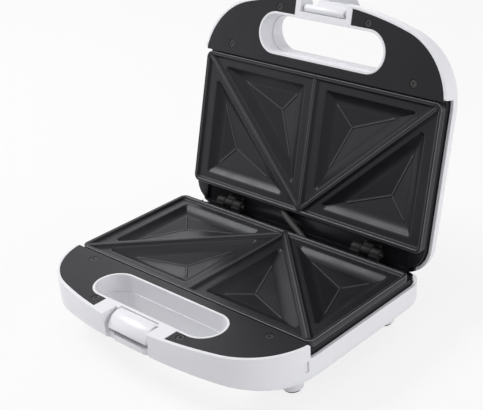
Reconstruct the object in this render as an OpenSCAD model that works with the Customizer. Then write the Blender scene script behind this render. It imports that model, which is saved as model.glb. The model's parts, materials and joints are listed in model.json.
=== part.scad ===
// Clamshell sandwich toaster, lid standing open.
// Each half is drawn in its own frame: x to the right, y = 0 at the cooking plate's front rim
// and growing to the rear, z = 0 at the plate's rim top and falling into the half.
// The lid is the same half turned over and swung about the hinge.

/* [Cooking plates] */
// Width of a cooking plate
plate_w = 220; // [208:1:236]
// Depth of a cooking plate, front to rear
plate_d = 104.4; // [96:0.2:116]
// Corner radius of a cooking plate
plate_corner_r = 5; // [3:0.5:8]
// Height of the plate's outer skirt
plate_skirt_h = 4.8; // [4:0.2:6]
// Wall thickness of the casting
cast_t = 2.5; // [2:0.1:3]
// Width of the flat top of the rim
rim_w = 2.2; // [1.6:0.1:3]
// Run of the sloped inner face of the rim
rim_slope = 1.8; // [1:0.1:2.4]
// Depth of the plate's flat below the rim top
flat_depth = 2.3; // [1.6:0.1:2.8]
// Width of the flat top of a dividing ridge
ridge_top = 1.9; // [1.2:0.1:3]
// Width of a dividing ridge at its foot
ridge_foot = 6; // [4.5:0.1:7]
// Distance from the plate's rear edge to the point where the ridges meet
ridge_meet = 2.9; // [1.5:0.1:4]

/* [Pockets] */
// Margin between the plate's side edge and a pocket
pocket_side = 11.5; // [10:0.1:14]
// Margin between the plate's rear edge and a pocket
pocket_rear = 9; // [8:0.1:12]
// Margin between the plate's front edge and a pocket
pocket_front = 9.2; // [8:0.1:12]
// Distance from the central ridge's middle to a pocket
pocket_mid = 10; // [8:0.1:12]
// Distance from a diagonal ridge's middle to an outer pocket
pocket_diag_out = 6.2; // [5:0.1:8]
// Distance from a diagonal ridge's middle to an inner pocket
pocket_diag_in = 4.4; // [4.2:0.1:8]
// Corner radius of a pocket at its edge
pocket_r = 2.6; // [1.5:0.1:4]
// Depth of a pocket's floor edge below the rim top
pocket_foot = 6.6; // [5:0.1:7.4]
// Depth of the pyramid's point below the rim top
pocket_apex = 8.5; // [7.6:0.1:9.4]
// Run of a pocket's scooped wall, seen from above
pocket_run = 8.2; // [6:0.1:10]
// Distance from a pocket's edge to the sharp corners of its pyramid floor
pyramid_inset = 9.5; // [9:0.1:12]

/* [Housing] */
// Wall thickness of both shells
wall = 2.2; // [1.6:0.1:3]
// Gap between a cooking plate and the shell's wall at the sides
plate_gap = 1.3; // [0.9:0.1:2]
// Reach of the handle in front of the plate's front rim
handle_reach = 55; // [50:0.5:64]
// Radius of the handle's long front bow
bow_r = 283; // [260:1:330]
// Radius of the handle's shoulders
shoulder_r = 53; // [46:0.5:58]
// Radius of the rear corners seen from above
rear_r = 20; // [16:0.5:26]
// Height of the upright lip at the front of the lower handle
base_lip = 16; // [14.5:0.5:18]
// Height of the upright lip at the front of the upper handle
lid_lip = 8; // [6:0.5:10]
// Length over which a handle's outside rises to the front
front_run = 77; // [66:1:88]
// Height of the lower half below the parting line
base_depth = 28.5; // [28:0.5:34]
// Radius of the lower half's bottom edge
base_edge_r = 8; // [6:0.5:9]
// Height of the upper half above the parting line
lid_depth = 32; // [30:0.5:38]
// Radius of the upper half's outer edge
lid_edge_r = 24; // [16:0.5:26]
// Inward lean of the side walls over their height
draft = 1; // [0:0.1:2]
// Drop of the lower half's side walls below the parting line
side_drop = 9; // [7:0.5:11]
// Drop of the lower half's rear wall below the parting line
rear_drop = 13; // [12.8:0.1:16]
// Distance from the plate's front rim back over which the handle's high wall runs
high_wall_end = -2.8; // [-4:0.1:-1.6]

/* [Handle] */
// Length of the finger opening
oval_w = 114; // [100:1:124]
// Width of the finger opening, front to rear
oval_d = 28; // [24:0.5:30]
// Distance of the finger opening's middle behind the handle's front
oval_back = 31; // [29.5:0.5:33]
// Wall of the collar round the finger opening
collar_t = 1.8; // [1.4:0.1:2.4]
// Height of the collar's upper band, above its small step
collar_band = 13; // [9:0.5:15]
// Size of the step in the collar
collar_step = 0.7; // [0.4:0.1:1]
// Thickness of a handle panel
panel_t = 2.2; // [1.8:0.1:3]
// Gap between the handle panel and the cooking plate
panel_gap = 1.4; // [0.8:0.1:2]
// Half width of the lower panel's gap at the catch
base_bridge = 34; // [30:0.5:36]
// Half width of the upper panel's gap at the clip
lid_bridge = 26; // [24.5:0.5:30]
// Diameter of a panel screw's head
screw_head_d = 5.6; // [4.6:0.1:6.2]
// Diameter of a panel screw's shank
screw_d = 2.9; // [2.5:0.1:3.2]
// Distance of the outer panel screws from the middle
screw_outer_x = 85; // [80:0.5:90]
// Distance of the inner panel screws from the middle
screw_inner_x = 41; // [40:0.5:46]

/* [Latch] */
// Half width of the notch in a handle's front
notch_half = 21; // [20:0.5:22.5]
// Width of the catch nose
catch_w = 36; // [34:0.5:37]
// Width of the clip
clip_w = 36; // [34:0.5:38]
// Distance of the clip's pivot behind the handle's front
clip_back = 9; // [8.8:0.1:9.4]
// Height of the clip's pivot above the upper half's parting face
clip_z = 3.2; // [3:0.1:3.6]
// Distance from the clip's pivot to the inside of its hook
clip_reach = 15.6; // [15.5:0.1:15.8]
// Thickness of the clip
clip_t = 1.9; // [1.5:0.1:2.1]
// Angle of the flipped-up clip from its closed place
clip_open = 125; // [110:1:128]
// Diameter of the clip's pin
clip_pin_d = 2.4; // [2:0.1:2.8]
// Radius of the catch nose
catch_r = 10.3; // [10:0.1:10.4]

/* [Hinge] */
// Angle of the open lid
open_angle = 105.2; // [90:0.1:106]
// Distance from the plate's rear edge to the hinge line
hinge_gap = 9; // [8.6:0.1:11]
// Distance from the hinge line to the rear wall's outside
hinge_back = 8.6; // [8.4:0.1:9]
// Gap between the two halves' rims when closed
part_gap = 0.6; // [0.4:0.1:1]
// Diameter of a hinge barrel
barrel_d = 7; // [6:0.1:8]
// Diameter of a hinge pin
pin_d = 3; // [2.5:0.1:3.5]
// Length of one barrel of a hinge
barrel_l = 8; // [7:0.1:9]
// Distance of a hinge's middle from the object's middle
hinge_x = 67; // [60:0.5:74]
// Thickness of the hinge leaves
leaf_t = 2.2; // [1.8:0.1:2.4]

/* [Feet] */
// Diameter of a foot
foot_d = 15; // [13:0.5:18]
// Height of a foot below the housing, with its pad
foot_h = 17; // [13:0.5:20]
// Thickness of a foot's rubber pad
pad_t = 1.6; // [1:0.1:2.5]
// Distance of the feet from the middle
foot_x = 88; // [76:0.5:90]
// Distance of the front feet behind the plate's front rim
foot_front = 5.5; // [5:0.5:12]
// Distance of the rear feet in front of the rear wall
foot_rear = 19; // [16:0.5:26]

/* [Heating and wiring] */
// Diameter of a tubular heating element
heater_d = 6.4; // [5.6:0.1:7]
// Size of the bends of a heating element
heater_bend = 12; // [10:0.5:16]
// Thickness of the sheet reflector
tray_t = 0.8; // [0.5:0.1:1]
// Depth of the reflector below the rim top
tray_z = 20.5; // [19.5:0.1:21.5]
// Bore of the cord inlet
inlet_bore = 5.8; // [5.4:0.1:6]
// Diameter of an indicator lens
lens_d = 9; // [7:0.5:11]

/* [Fits] */
// Clearance between pieces that seat in each other
fit = 0.3; // [0.2:0.05:0.4]
// Radial clearance of a pin in its bore
pin_fit = 0.05; // [0.03:0.01:0.08]

/* [Hidden] */
$fn = 48;

white_plastic = [0.93, 0.93, 0.94];
black_plastic = [0.11, 0.11, 0.12];
coated_metal = [0.17, 0.17, 0.18];
bright_steel = [0.72, 0.72, 0.74];
dark_steel = [0.20, 0.20, 0.21];
rubber_black = [0.07, 0.07, 0.07];
ceramic = [0.86, 0.83, 0.76];

big = 400;
half_w = plate_w / 2 + plate_gap + wall;
hinge_y = plate_d + hinge_gap;
rear_y = hinge_y + hinge_back;
bow_cy = bow_r - handle_reach;
shoulder_x = half_w - shoulder_r;
shoulder_cy = bow_cy - sqrt(pow(bow_r - shoulder_r, 2) - pow(shoulder_x, 2));
bow_angle = atan2(shoulder_cy - bow_cy, shoulder_x);
deck_z = base_depth + foot_h;
collar_half = (oval_w - oval_d) / 2;
collar_r = oval_d / 2;
oval_y = handle_reach - oval_back;
clip_y = handle_reach - clip_back;
notch_back = oval_y + collar_r + collar_t + 3.2;
foot_rear_y = rear_y - foot_rear;
frame_top = plate_skirt_h + 0.1;
frame_t = 2.6;
frame_skirt = side_drop + 2;
// Reach of the carriers in front of the plates, short of the finger opening's collar.
carrier_front = oval_y - collar_r - collar_t - 3.2;
screw_outer_y = -(carrier_front + 4);
screw_inner_y = -(oval_y + collar_r + collar_t + screw_head_d / 2 + 0.7);

// ---- outlines -------------------------------------------------------------------------------

function arc(c, r, a0, a1, n) =
    [for (i = [0:n]) [c[0] + r * cos(a0 + (a1 - a0) * i / n), c[1] + r * sin(a0 + (a1 - a0) * i / n)]];

function but_last(p) = [for (i = [0:len(p) - 2]) p[i]];

// The housing seen from above, drawn in by d: bow, shoulders, straight sides, rear corners.
function plan(d, n = 8) = let(
        sr = max(shoulder_r - d, 4),
        rr = max(rear_r - d, 2),
        hw = half_w - d,
        rc = [hw - rr, rear_y - d - rr])
    concat(
        but_last(arc([0, bow_cy], bow_r - d, -180 - bow_angle, bow_angle, n)),
        arc([hw - sr, shoulder_cy], sr, bow_angle, 0, n),
        arc(rc, rr, 0, 90, n - 2),
        arc([-rc[0], rc[1]], rr, 90, 180, n - 2),
        but_last(arc([sr - hw, shoulder_cy], sr, 180, 180 - bow_angle, n)));

// How far a half is drawn in at height z, for its depth and the radius of its outer edge.
function drawn_in(z, depth, r) = let(u = max(0, min(1, (z - depth + r) / r)))
    draft * z / depth + r * (1 - sqrt(1 - u * u));

// The handle's outside rises to the front along a curve with upright and level ends.
function rise(t, depth, lip) = let(s = 1 - t, z0 = lip, z1 = lip + 6)
    [-handle_reach + 3 * s * t * t * 0.61 * front_run + t * t * t * front_run,
     s * s * s * z0 + 3 * s * s * t * z1 + 3 * s * t * t * depth + t * t * t * depth];

// Slices of a half: [height below the rim, outline], drawn in by skin for the inside.
function slices(depth, r, lip, skin = 0, steps = 8) = concat(
    [[0, plan(skin)]],
    [for (i = [0:steps]) let(p = rise(i / steps, depth, lip))
        [p[1], [for (q = plan(skin + drawn_in(p[1], depth, r))) [q[0], max(q[1], p[0] + skin)]]]]);

module half_solid(depth, r, lip, skin = 0) {
    hull()
        for (s = slices(depth, r, lip, skin))
            translate([0, 0, -s[0]]) linear_extrude(0.02) polygon(s[1]);
}

module stadium(half, r, h) {
    translate([-half, 0, 0]) cylinder(r = r, h = h);
    translate([half, 0, 0]) cylinder(r = r, h = h);
    translate([-half, -r, 0]) cube([2 * half, 2 * r, h]);
}

module oval(grow, z0, z1) {
    translate([0, -oval_y, z0]) stadium(collar_half, collar_r + grow, z1 - z0);
}

// ---- placing --------------------------------------------------------------------------------

// Where a point of the lid, at depth z inside it, comes to lie when the lid is open.
function open_y(y, z) = hinge_y + (y - hinge_y) * cos(open_angle)
    + (part_gap / 2 + z) * sin(open_angle);

function open_z(y, z) = part_gap / 2 - (y - hinge_y) * sin(open_angle)
    + (part_gap / 2 + z) * cos(open_angle);

// The hook's outer corner and tip, from the clip's pivot, with the clip closed.
clip_front = handle_reach + 0.5 - clip_y;
clip_far = clip_reach + clip_t;
hook_tip = 2.2;

// How far back a point of the clip reaches with the lid open and the clip flipped up.
function clip_y_at(p) = open_y(-clip_y + p[0] * cos(clip_open) - p[1] * sin(clip_open),
    clip_z - p[0] * sin(clip_open) - p[1] * cos(clip_open));

// Where an outline's edge crosses a given x.
function edge_at(p, x) = [for (i = [0:len(p) - 2]) if (p[i][0] <= x && p[i + 1][0] > x)
    p[i][1] + (p[i + 1][1] - p[i][1]) * (x - p[i][0]) / (p[i + 1][0] - p[i][0])][0];

front_reach = -edge_at(plan(0), notch_half);
lid_reach = max([for (s = slices(lid_depth, lid_edge_r, lid_lip)) for (q = s[1]) open_y(q[1], s[0])]);
hook_angle = asin(clip_front / clip_far);
clip_rear = max([for (a = [hook_angle, hook_angle - 2, hook_angle - 5, hook_angle - 10, hook_angle - 15])
    clip_y_at(clip_far * [-sin(a), cos(a)])]);
rear_reach = max(lid_reach, clip_rear);
middle_y = (rear_reach - front_reach) / 2;

module in_base() { translate([0, -middle_y, deck_z]) children(); }

module in_closed_lid() { translate([0, 0, part_gap]) mirror([0, 0, 1]) children(); }

module in_lid() {
    in_base() translate([0, hinge_y, part_gap / 2]) rotate([-open_angle, 0, 0])
        translate([0, -hinge_y, -part_gap / 2]) in_closed_lid() children();
}

// The clip is drawn closed, about its pivot, in the lid's frame.
module in_clip() {
    in_lid() translate([0, -clip_y, -clip_z]) rotate([clip_open, 0, 0]) children();
}

// ---- cooking plates -------------------------------------------------------------------------

// Where two lines meet, each given by a point and a direction.
function meet(p, u, q, v) = let(k = ((q[0] - p[0]) * v[1] - (q[1] - p[1]) * v[0])
        / (u[0] * v[1] - u[1] * v[0])) p + k * u;

function unit(v) = v / norm(v);
function left(v) = [-v[1], v[0]];

// A convex outline, listed anticlockwise, with every edge moved in by d.
function inset(p, d) = let(n = len(p)) [for (i = [0:n - 1]) let(
        a = p[(i + n - 1) % n], b = p[i], c = p[(i + 1) % n],
        u = unit(b - a), v = unit(c - b))
    meet(b + left(u) * d, u, b + left(v) * d, v)];

// The same outline with its corners rounded.
function rounded(p, r, n = 4) = let(m = len(p)) [for (i = [0:m - 1]) let(
        a = p[(i + m - 1) % m], b = p[i], c = p[(i + 1) % m],
        u = unit(b - a), v = unit(c - b),
        ctr = meet(b + left(u) * r, u, b + left(v) * r, v),
        a0 = atan2(-u[0], u[1]), turn = atan2(u[0] * v[1] - u[1] * v[0], u * v))
    for (k = [0:n]) ctr + r * [cos(a0 + turn * k / n), sin(a0 + turn * k / n)]];

ridge_a = [0, plate_d - ridge_meet];
ridge_b = [plate_w / 2 - 3, 2.5];
ridge_u = unit(ridge_b - ridge_a);
ridge_n = left(ridge_u);

// The right half of the plate is split by its diagonal ridge into two triangles.
function outer_tri(side, rear, diag) = let(o = ridge_a + ridge_n * diag,
        x = plate_w / 2 - side, y = plate_d - rear)
    [meet(o, ridge_u, [x, 0], [0, 1]), [x, y], meet(o, ridge_u, [0, y], [1, 0])];

function inner_tri(mid, front, diag) = let(o = ridge_a - ridge_n * diag)
    [[mid, front], meet(o, ridge_u, [0, front], [1, 0]), meet(o, ridge_u, [mid, 0], [0, 1])];

pocket_out = outer_tri(pocket_side, pocket_rear, pocket_diag_out);
pocket_in = inner_tri(pocket_mid, pocket_front, pocket_diag_in);
rim_foot = rim_w + rim_slope;
field_out_top = outer_tri(rim_w, rim_w, ridge_top / 2);
field_in_top = inner_tri(ridge_top / 2, rim_w, ridge_top / 2);
field_out_foot = outer_tri(rim_foot, rim_foot, ridge_foot / 2);
field_in_foot = inner_tri(ridge_foot / 2, rim_foot, ridge_foot / 2);

// Middle of a triangle's inscribed circle.
function incentre(p) = let(a = norm(p[1] - p[2]), b = norm(p[0] - p[2]), c = norm(p[0] - p[1]))
    (a * p[0] + b * p[1] + c * p[2]) / (a + b + c);

// Scooped wall of a pocket: run inwards against depth, from the edge to the foot.
scoop = [for (t = [0:0.25:1]) [pocket_run * (0.62 * t + 0.38 * t * t),
    flat_depth + (pocket_foot - flat_depth) * sin(90 * t) ]];

module layer(p, z) { translate([0, 0, -z]) linear_extrude(0.02) polygon(p); }

module pocket_void(tri) {
    hull() {
        layer(rounded(tri, pocket_r), flat_depth - 0.03);
        for (s = scoop) layer(rounded(inset(tri, s[0]), max(pocket_r - s[0] / 4, 0.8)), s[1]);
    }
    hull() {
        layer(inset(tri, pyramid_inset), pocket_foot - 0.05);
        translate([incentre(tri)[0], incentre(tri)[1], -pocket_apex]) cylinder(r = 0.3, h = 0.02, $fn = 6);
    }
}

module field_void(top, foot) {
    hull() {
        layer(rounded(top, 1.2), -0.05);
        layer(rounded(foot, 1.6), flat_depth);
    }
}

module pocket_back(tri) {
    hull() {
        layer(rounded(inset(tri, -cast_t), pocket_r + cast_t), plate_skirt_h - 0.5);
        layer(rounded(inset(tri, pocket_run - cast_t), pocket_r), pocket_foot + cast_t);
        translate([incentre(tri)[0], incentre(tri)[1], -pocket_apex - cast_t])
            cylinder(r = 6, h = 0.02, $fn = 12);
    }
}

boss_r = 4;
boss_inset = 24;
boss_y = [boss_inset, plate_d - boss_inset];
boss_end = tray_z - 0.1;

module cooking_plate() {
    color(coated_metal) difference() {
        union() {
            translate([0, 0, -plate_skirt_h]) linear_extrude(plate_skirt_h)
                polygon(rounded([[-plate_w / 2, 0], [plate_w / 2, 0],
                    [plate_w / 2, plate_d], [-plate_w / 2, plate_d]], plate_corner_r, 6));
            for (s = [0, 1]) mirror([s, 0, 0]) {
                pocket_back(pocket_out);
                pocket_back(pocket_in);
            }
            for (y = boss_y) translate([0, y, -boss_end])
                cylinder(r = boss_r, h = boss_end - flat_depth - 0.5, $fn = 24);
        }
        for (s = [0, 1]) mirror([s, 0, 0]) {
            field_void(field_out_top, field_out_foot);
            field_void(field_in_top, field_in_foot);
            pocket_void(pocket_out);
            pocket_void(pocket_in);
        }
        for (y = boss_y) translate([0, y, -boss_end - 1]) cylinder(d = screw_d - 0.1, h = 10, $fn = 16);
    }
}

// Screws that pull the plate down on its carrier through the reflector.
module plate_screws() {
    color(bright_steel) for (y = boss_y) translate([0, y, -tray_z - tray_t]) {
        cylinder(d = screw_d - 0.2, h = 8);
        translate([0, 0, -1.9]) cylinder(d = 6, h = 1.85);
    }
}

// ---- heating parts, the same in both halves ----------------------------------------------------

heater_z = pocket_apex + cast_t + heater_d / 2 + 0.25;
apex_out = incentre(pocket_out);
apex_in = incentre(pocket_in);
heater_x = apex_out[0];
heater_y = [apex_in[1], plate_d - 18];
heater_gap = 14;

module bar(p, q, d) {
    v = q - p;
    translate(p) rotate([0, acos(v[2] / norm(v)), atan2(v[1], v[0])]) cylinder(d = d, h = norm(v));
}

// The element's run from one cold end round to the other.
heater_run = let(x = heater_x, b = heater_bend, y0 = heater_y[0], y1 = heater_y[1]) concat(
    [[-heater_gap, y1]],
    arc([b - x, y1 - b], b, 90, 180, 4),
    arc([b - x, y0 + b], b, 180, 270, 4),
    arc([x - b, y0 + b], b, -90, 0, 4),
    arc([x - b, y1 - b], b, 0, 90, 4),
    [[heater_gap, y1]]);
cold_pin = 7;
cold_r = 1.5;

module heater() {
    n = len(heater_run);
    a = heater_run[0];
    b = heater_run[n - 1];
    line = concat([[a[0] + cold_pin, a[1]], a], heater_run, [b, [b[0] - cold_pin, b[1]]]);
    radii = concat([cold_r, cold_r], [for (p = heater_run) heater_d / 2], [cold_r, cold_r]);
    color(dark_steel) swept([for (p = line) [p[0], p[1], -heater_z]], radii, 12, [0, 0, 1]);
}

// Steatite saddles that stand on the reflector and press the element to the plate.
module heater_saddles() {
    color(ceramic) for (s = [-1, 1]) {
        translate([s * heater_x, plate_d / 2 + 6, 0]) saddle();
        translate([s * apex_in[0], heater_y[0], 0]) rotate([0, 0, 90]) saddle();
    }
}

module saddle() {
    top = heater_z - 0.6;
    difference() {
        translate([-6, -4, -tray_z + 0.05]) cube([12, 8, tray_z - top - 0.05]);
        translate([0, -5, -heater_z]) rotate([-90, 0, 0]) cylinder(d = heater_d + 0.2, h = 10);
        translate([-3.4, -2.4, -tray_z - 1]) cube([6.8, 4.8, 2]);
    }
}

tray_half = plate_w / 2 - 10.5;
tray_front = 3.6;
tray_rear = plate_d - tray_front;

module reflector() {
    top = frame_top + frame_t + 0.05;
    color(bright_steel) difference() {
        translate([-tray_half, tray_front, -tray_z - tray_t])
            cube([2 * tray_half, tray_rear - tray_front, tray_z + tray_t - top]);
        translate([-tray_half + tray_t, tray_front + tray_t, -tray_z])
            cube([2 * (tray_half - tray_t), tray_rear - tray_front - 2 * tray_t, tray_z]);
        for (y = boss_y) translate([0, y, -tray_z - 1]) cylinder(d = screw_d + 0.6, h = 2);
    }
}

// ---- control parts of the lower half -----------------------------------------------------------

stat_d = 12.6;
stat_y = plate_d / 2;

module thermostat() {
    top = plate_skirt_h + 0.1;
    color(black_plastic) in_base() translate([0, stat_y, 0]) {
        translate([0, 0, -top - 3]) cylinder(d = stat_d, h = 3);
        translate([0, 0, -top - 7]) cylinder(d = stat_d - 2, h = 4.2);
        for (s = [-1, 1]) translate([s * 3 - 0.4, -2.4, -top - 11]) cube([0.8, 4.8, 4.2]);
    }
}

module thermal_fuse() {
    z = -plate_skirt_h - 2.1;
    y = plate_d - 11;
    color(bright_steel) in_base() {
        bar([-6, y, z], [6, y, z], 4);
        bar([-13, y, z], [13, y, z], 1.2);
    }
}

block_y = plate_d - 12;

module terminal_block() {
    w = 26;
    d = 12;
    pitch = w / 3.25;
    z = 0.05 + wall - base_depth;
    h = base_depth - wall - tray_z - tray_t - 0.6;
    color(ceramic) in_base() difference() {
        union() {
            translate([inlet_x - w / 2, block_y - d / 2, z]) cube([w, d, h]);
            translate([inlet_x - w / 2 - 4, block_y - d / 4, z]) cube([w + 8, d / 2, h / 3]);
        }
        for (k = [-1, 0, 1]) {
            translate([inlet_x + k * pitch, block_y + d, z + h / 2]) rotate([90, 0, 0])
                cylinder(d = 2.4, h = 2 * d);
            for (j = [-1, 1]) translate([inlet_x + k * pitch, block_y + j * d / 4, z + h / 2])
                cylinder(d = 3, h = h);
        }
    }
}

module cord_inlet_bush() {
    color(black_plastic) in_base() translate([inlet_x, rear_y, -inlet_z]) rotate([90, 0, 0]) difference() {
        union() {
            translate([0, 0, -1.8]) cylinder(d = inlet_bore + 5.6, h = 1.6);
            translate([0, 0, -1]) cylinder(d = inlet_bore + 4, h = wall + 6);
            translate([0, 0, wall + 2.7]) cylinder(d = inlet_bore + 4.2, h = 2);
        }
        translate([0, 0, -3]) cylinder(d = inlet_bore, h = wall + 10);
    }
}

// ---- frames --------------------------------------------------------------------------------

frame_screw_x = plate_w / 2 - 5.6;
frame_screw_inset = 20;
frame_screw_y = [frame_screw_inset, plate_d - frame_screw_inset];
cheek_x = 100;

carrier_in = wall + fit + draft * 0.55;
frame_head_d = 5;

// The housing's outline behind the plate, drawn in by d and not wider than half.
module rear_strip(d, front, half) {
    intersection() {
        polygon(plan(d));
        translate([-half, front]) square([2 * half, rear_y]);
    }
}

// The carrier's outline, drawn in by d.
module carrier_plan(d) {
    out = plate_w / 2 + 0.2 - d;
    front = d - carrier_front;
    intersection() {
        polygon(plan(carrier_in + d));
        translate([-out, front]) square([2 * out, plate_d + 0.5 - d - front]);
    }
}

// Ring under the plate's edge, its skirt, and the channel that carries the hinges.
module carrier(floor_z, half, sleeve_x) {
    back = plate_d + 0.5;
    bottom = max(floor_z + 2, frame_skirt);
    color(black_plastic) difference() {
        union() {
            difference() {
                translate([0, 0, -frame_skirt]) linear_extrude(frame_skirt - frame_top) carrier_plan(0);
                translate([0, 0, -frame_skirt - frame_t])
                    linear_extrude(frame_skirt - frame_top) carrier_plan(2);
            }
            translate([0, 0, -floor_z - 2]) linear_extrude(2) rear_strip(carrier_in, back - 2, half);
            translate([-cheek_x, back - 2, -bottom]) cube([2 * cheek_x, 2, bottom - frame_top]);
            if (half > cheek_x)
                // flange over the low rear wall
                translate([0, 0, 0.1 - rear_drop]) linear_extrude(rear_drop - 0.1 - floor_z)
                    rear_strip(fit, rear_y - 5, rear_low - fit);
            else
                // cheeks beside the channel
                translate([0, 0, -frame_top - frame_t]) linear_extrude(frame_t) difference() {
                    rear_strip(carrier_in, back - 2, big / 2);
                    translate([2 - cheek_x, 0]) square([2 * (cheek_x - 2), big]);
                }
        }
        translate([7 - plate_w / 2, 5, -big / 2]) cube([plate_w - 14, plate_d - 10, big]);
        for (s = [-1, 1]) for (y = frame_screw_y) translate([s * frame_screw_x, y, 0]) {
            translate([0, 0, -big / 2]) cylinder(d = screw_d + 2 * fit, h = big);
            translate([0, 0, -frame_top - 1.5]) cylinder(d = frame_head_d + 2 * fit, h = 3);
        }
        translate([sleeve_x, sleeve_y, -big / 2]) cylinder(d = sleeve_d + 2 * fit, h = big);
    }
}

sleeve_d = 5;
sleeve_y = hinge_y - 5.6;
sleeve_x = 18;

module frame_screws() {
    color(bright_steel) for (s = [-1, 1]) for (y = frame_screw_y)
        translate([s * frame_screw_x, y, -frame_top]) {
            translate([0, 0, -frame_t - 8]) cylinder(d = screw_d - 0.2, h = frame_t + 8);
            translate([0, 0, -1.45]) cylinder(d = frame_head_d, h = 1.3);
        }
}

// ---- shells --------------------------------------------------------------------------------

screw_spots = [for (s = [-1, 1]) for (p = [[screw_outer_x, screw_outer_y],
    [screw_inner_x, screw_inner_y]]) [s * p[0], p[1]]];

// A half shell: hollow, with collar, notch walls, the deck beside them and screw bosses.
module shell(depth, r, lip, bridge, notch_z) {
    difference() {
        half_solid(depth, r, lip);
        difference() {
            union() {
                half_solid(depth - wall, r - wall, lip, wall);
                translate([0, 0, -0.6]) linear_extrude(1) polygon(plan(wall));
            }
            translate([-bridge, -handle_reach - 5, -wall])
                cube([2 * bridge, handle_reach + 5 - oval_y - collar_r, big]);
            translate([-notch_half - wall, -handle_reach - 5, -notch_z - wall])
                cube([2 * (notch_half + wall), handle_reach + 5 - oval_y - collar_r, big]);
            translate([-notch_half - wall, -handle_reach - 5, -big])
                cube([2 * (notch_half + wall), 7 + shelf_set + wall, 2 * big]);
            oval(collar_t, -big / 2, big / 2);
            for (p = screw_spots) translate([p[0], p[1], -panel_t - big])
                cylinder(r = 3.4, h = big, $fn = 24);
            for (s = [-1, 1]) for (y = frame_screw_y)
                translate([s * frame_screw_x, y, -frame_top - frame_t - big])
                    cylinder(r = 3.2, h = big, $fn = 24);
        }
        oval(0, -collar_band, 1);
        oval(-collar_step, -big / 2, 1);
        for (p = screw_spots) translate([p[0], p[1], -panel_t - 8])
            cylinder(d = screw_d - 0.1, h = 10, $fn = 16);
        for (s = [-1, 1]) for (y = frame_screw_y)
            translate([s * frame_screw_x, y, -frame_top - frame_t - 8.5])
                cylinder(d = screw_d - 0.1, h = 10, $fn = 16);
        translate([-notch_half, -handle_reach - 5, -notch_z])
            cube([2 * notch_half, handle_reach + 5 - notch_back, 2 * big]);
    }
}

// Lowers the wall behind y0 to depth z, and leaves what stands inside the wall.
module wall_cut(y0, z) {
    translate([0, 0, -z]) linear_extrude(big) difference() {
        translate([-big / 2, y0]) square([big, big]);
        polygon(plan(wall + draft + 0.4));
    }
}

foot_spots = [for (s = [-1, 1]) for (y = [foot_front, foot_rear_y]) [s * foot_x, y]];
foot_bore = 8;
inlet_x = -40;
inlet_z = rear_drop + inlet_bore / 2 + 3.7;
shelf_half = 15.5;
shelf_set = 2.2;
shelf_r = 2.5;
// Half the width over which the lower half's rear wall is low, beside the lid's back.
rear_low = half_w - 9.5;

module base_shell() {
    color(white_plastic) in_base() difference() {
        union() {
            shell(base_depth, base_edge_r, base_lip, base_bridge, notch_floor);
            for (p = foot_spots) translate([p[0], p[1], -base_depth - foot_h + pad_t])
                cylinder(d = foot_d, h = foot_h - pad_t + 3);
        }
        wall_cut(high_wall_end, side_drop);
        translate([-rear_low, rear_y - 6, -rear_drop]) cube([2 * rear_low, big, big]);
        // the face below the notch, set back and narrower than the notch
        translate([0, 0, -big]) linear_extrude(big - notch_floor + 0.1) difference() {
            translate([-notch_half, -handle_reach - 5]) square([2 * notch_half, 7 + shelf_set]);
            polygon(rounded([
                [-shelf_half, shelf_set - handle_reach], [shelf_half, shelf_set - handle_reach],
                [shelf_half, -oval_y], [-shelf_half, -oval_y]], shelf_r));
        }
        translate([-catch_w / 2 - fit, -notch_back - 5, -2.6]) cube([catch_w + 2 * fit, 7.7, 5]);
        for (p = foot_spots) translate([p[0], p[1], -base_depth - foot_h])
            cylinder(d = foot_bore, h = 8, $fn = 32);
        translate([inlet_x, rear_y + 1, -inlet_z]) rotate([90, 0, 0])
            cylinder(d = inlet_bore + 4 + 2 * fit, h = wall + 6);
    }
}

notch_floor = 14;
lens_x = 9;
lens_y = 34;

module lid_shell() {
    swing_z = 5.6;
    color(white_plastic) in_lid() difference() {
        shell(lid_depth, lid_edge_r, lid_lip, lid_bridge, big);
        // room behind the pin for the clip's top as it flips up
        translate([-notch_half, -handle_reach - 5, -big])
            cube([2 * notch_half, handle_reach + 5 - notch_back + 3.5, big - swing_z]);
        wall_cut(high_wall_end, side_drop);
        for (s = [-1, 1]) {
            translate([s * lens_x, lens_y, -lid_depth - 1]) cylinder(d = lens_d + 2 * fit, h = 6);
            translate([s * (notch_half - 0.5), -clip_y, -clip_z]) rotate([0, s * 90, 0])
                cylinder(d = clip_pin_d + 0.1, h = 3, $fn = 32);
        }
    }
}

module foot_pads() {
    color(rubber_black) in_base() for (p = foot_spots) translate([p[0], p[1], -base_depth - foot_h]) {
        cylinder(d = foot_d - 3, h = pad_t);
        cylinder(d = foot_bore - 0.1, h = 7.4);
    }
}

// ---- handle panels ---------------------------------------------------------------------------

module handle_panel(bridge) {
    color(black_plastic) difference() {
        translate([0, 0, -panel_t]) linear_extrude(panel_t) intersection() {
            polygon(plan(wall + fit, 12));
            translate([-big / 2, -handle_reach]) square([big, handle_reach - panel_gap]);
        }
        oval(collar_t + fit, -big / 2, big / 2);
        translate([-bridge - fit, -handle_reach - 5, -big / 2])
            cube([2 * (bridge + fit), handle_reach + 5 - oval_y - collar_r, big]);
        for (p = screw_spots) translate([p[0], p[1], 0]) {
            translate([0, 0, -big / 2]) cylinder(d = screw_d + 2 * fit, h = big);
            translate([0, 0, -1.1]) cylinder(d = screw_head_d + 2 * fit, h = 2);
        }
    }
}

module panel_screws() {
    color(dark_steel) for (p = screw_spots) translate([p[0], p[1], 0]) {
        difference() {
            translate([0, 0, -1.1]) cylinder(d = screw_head_d, h = 0.9);
            for (a = [0, 90]) rotate([0, 0, a]) translate([-1.5, -0.35, -0.8]) cube([3, 0.7, 1]);
        }
        translate([0, 0, -panel_t - 7]) cylinder(d = screw_d - 0.2, h = panel_t + 6);
    }
}

// ---- hinge ---------------------------------------------------------------------------------

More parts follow.
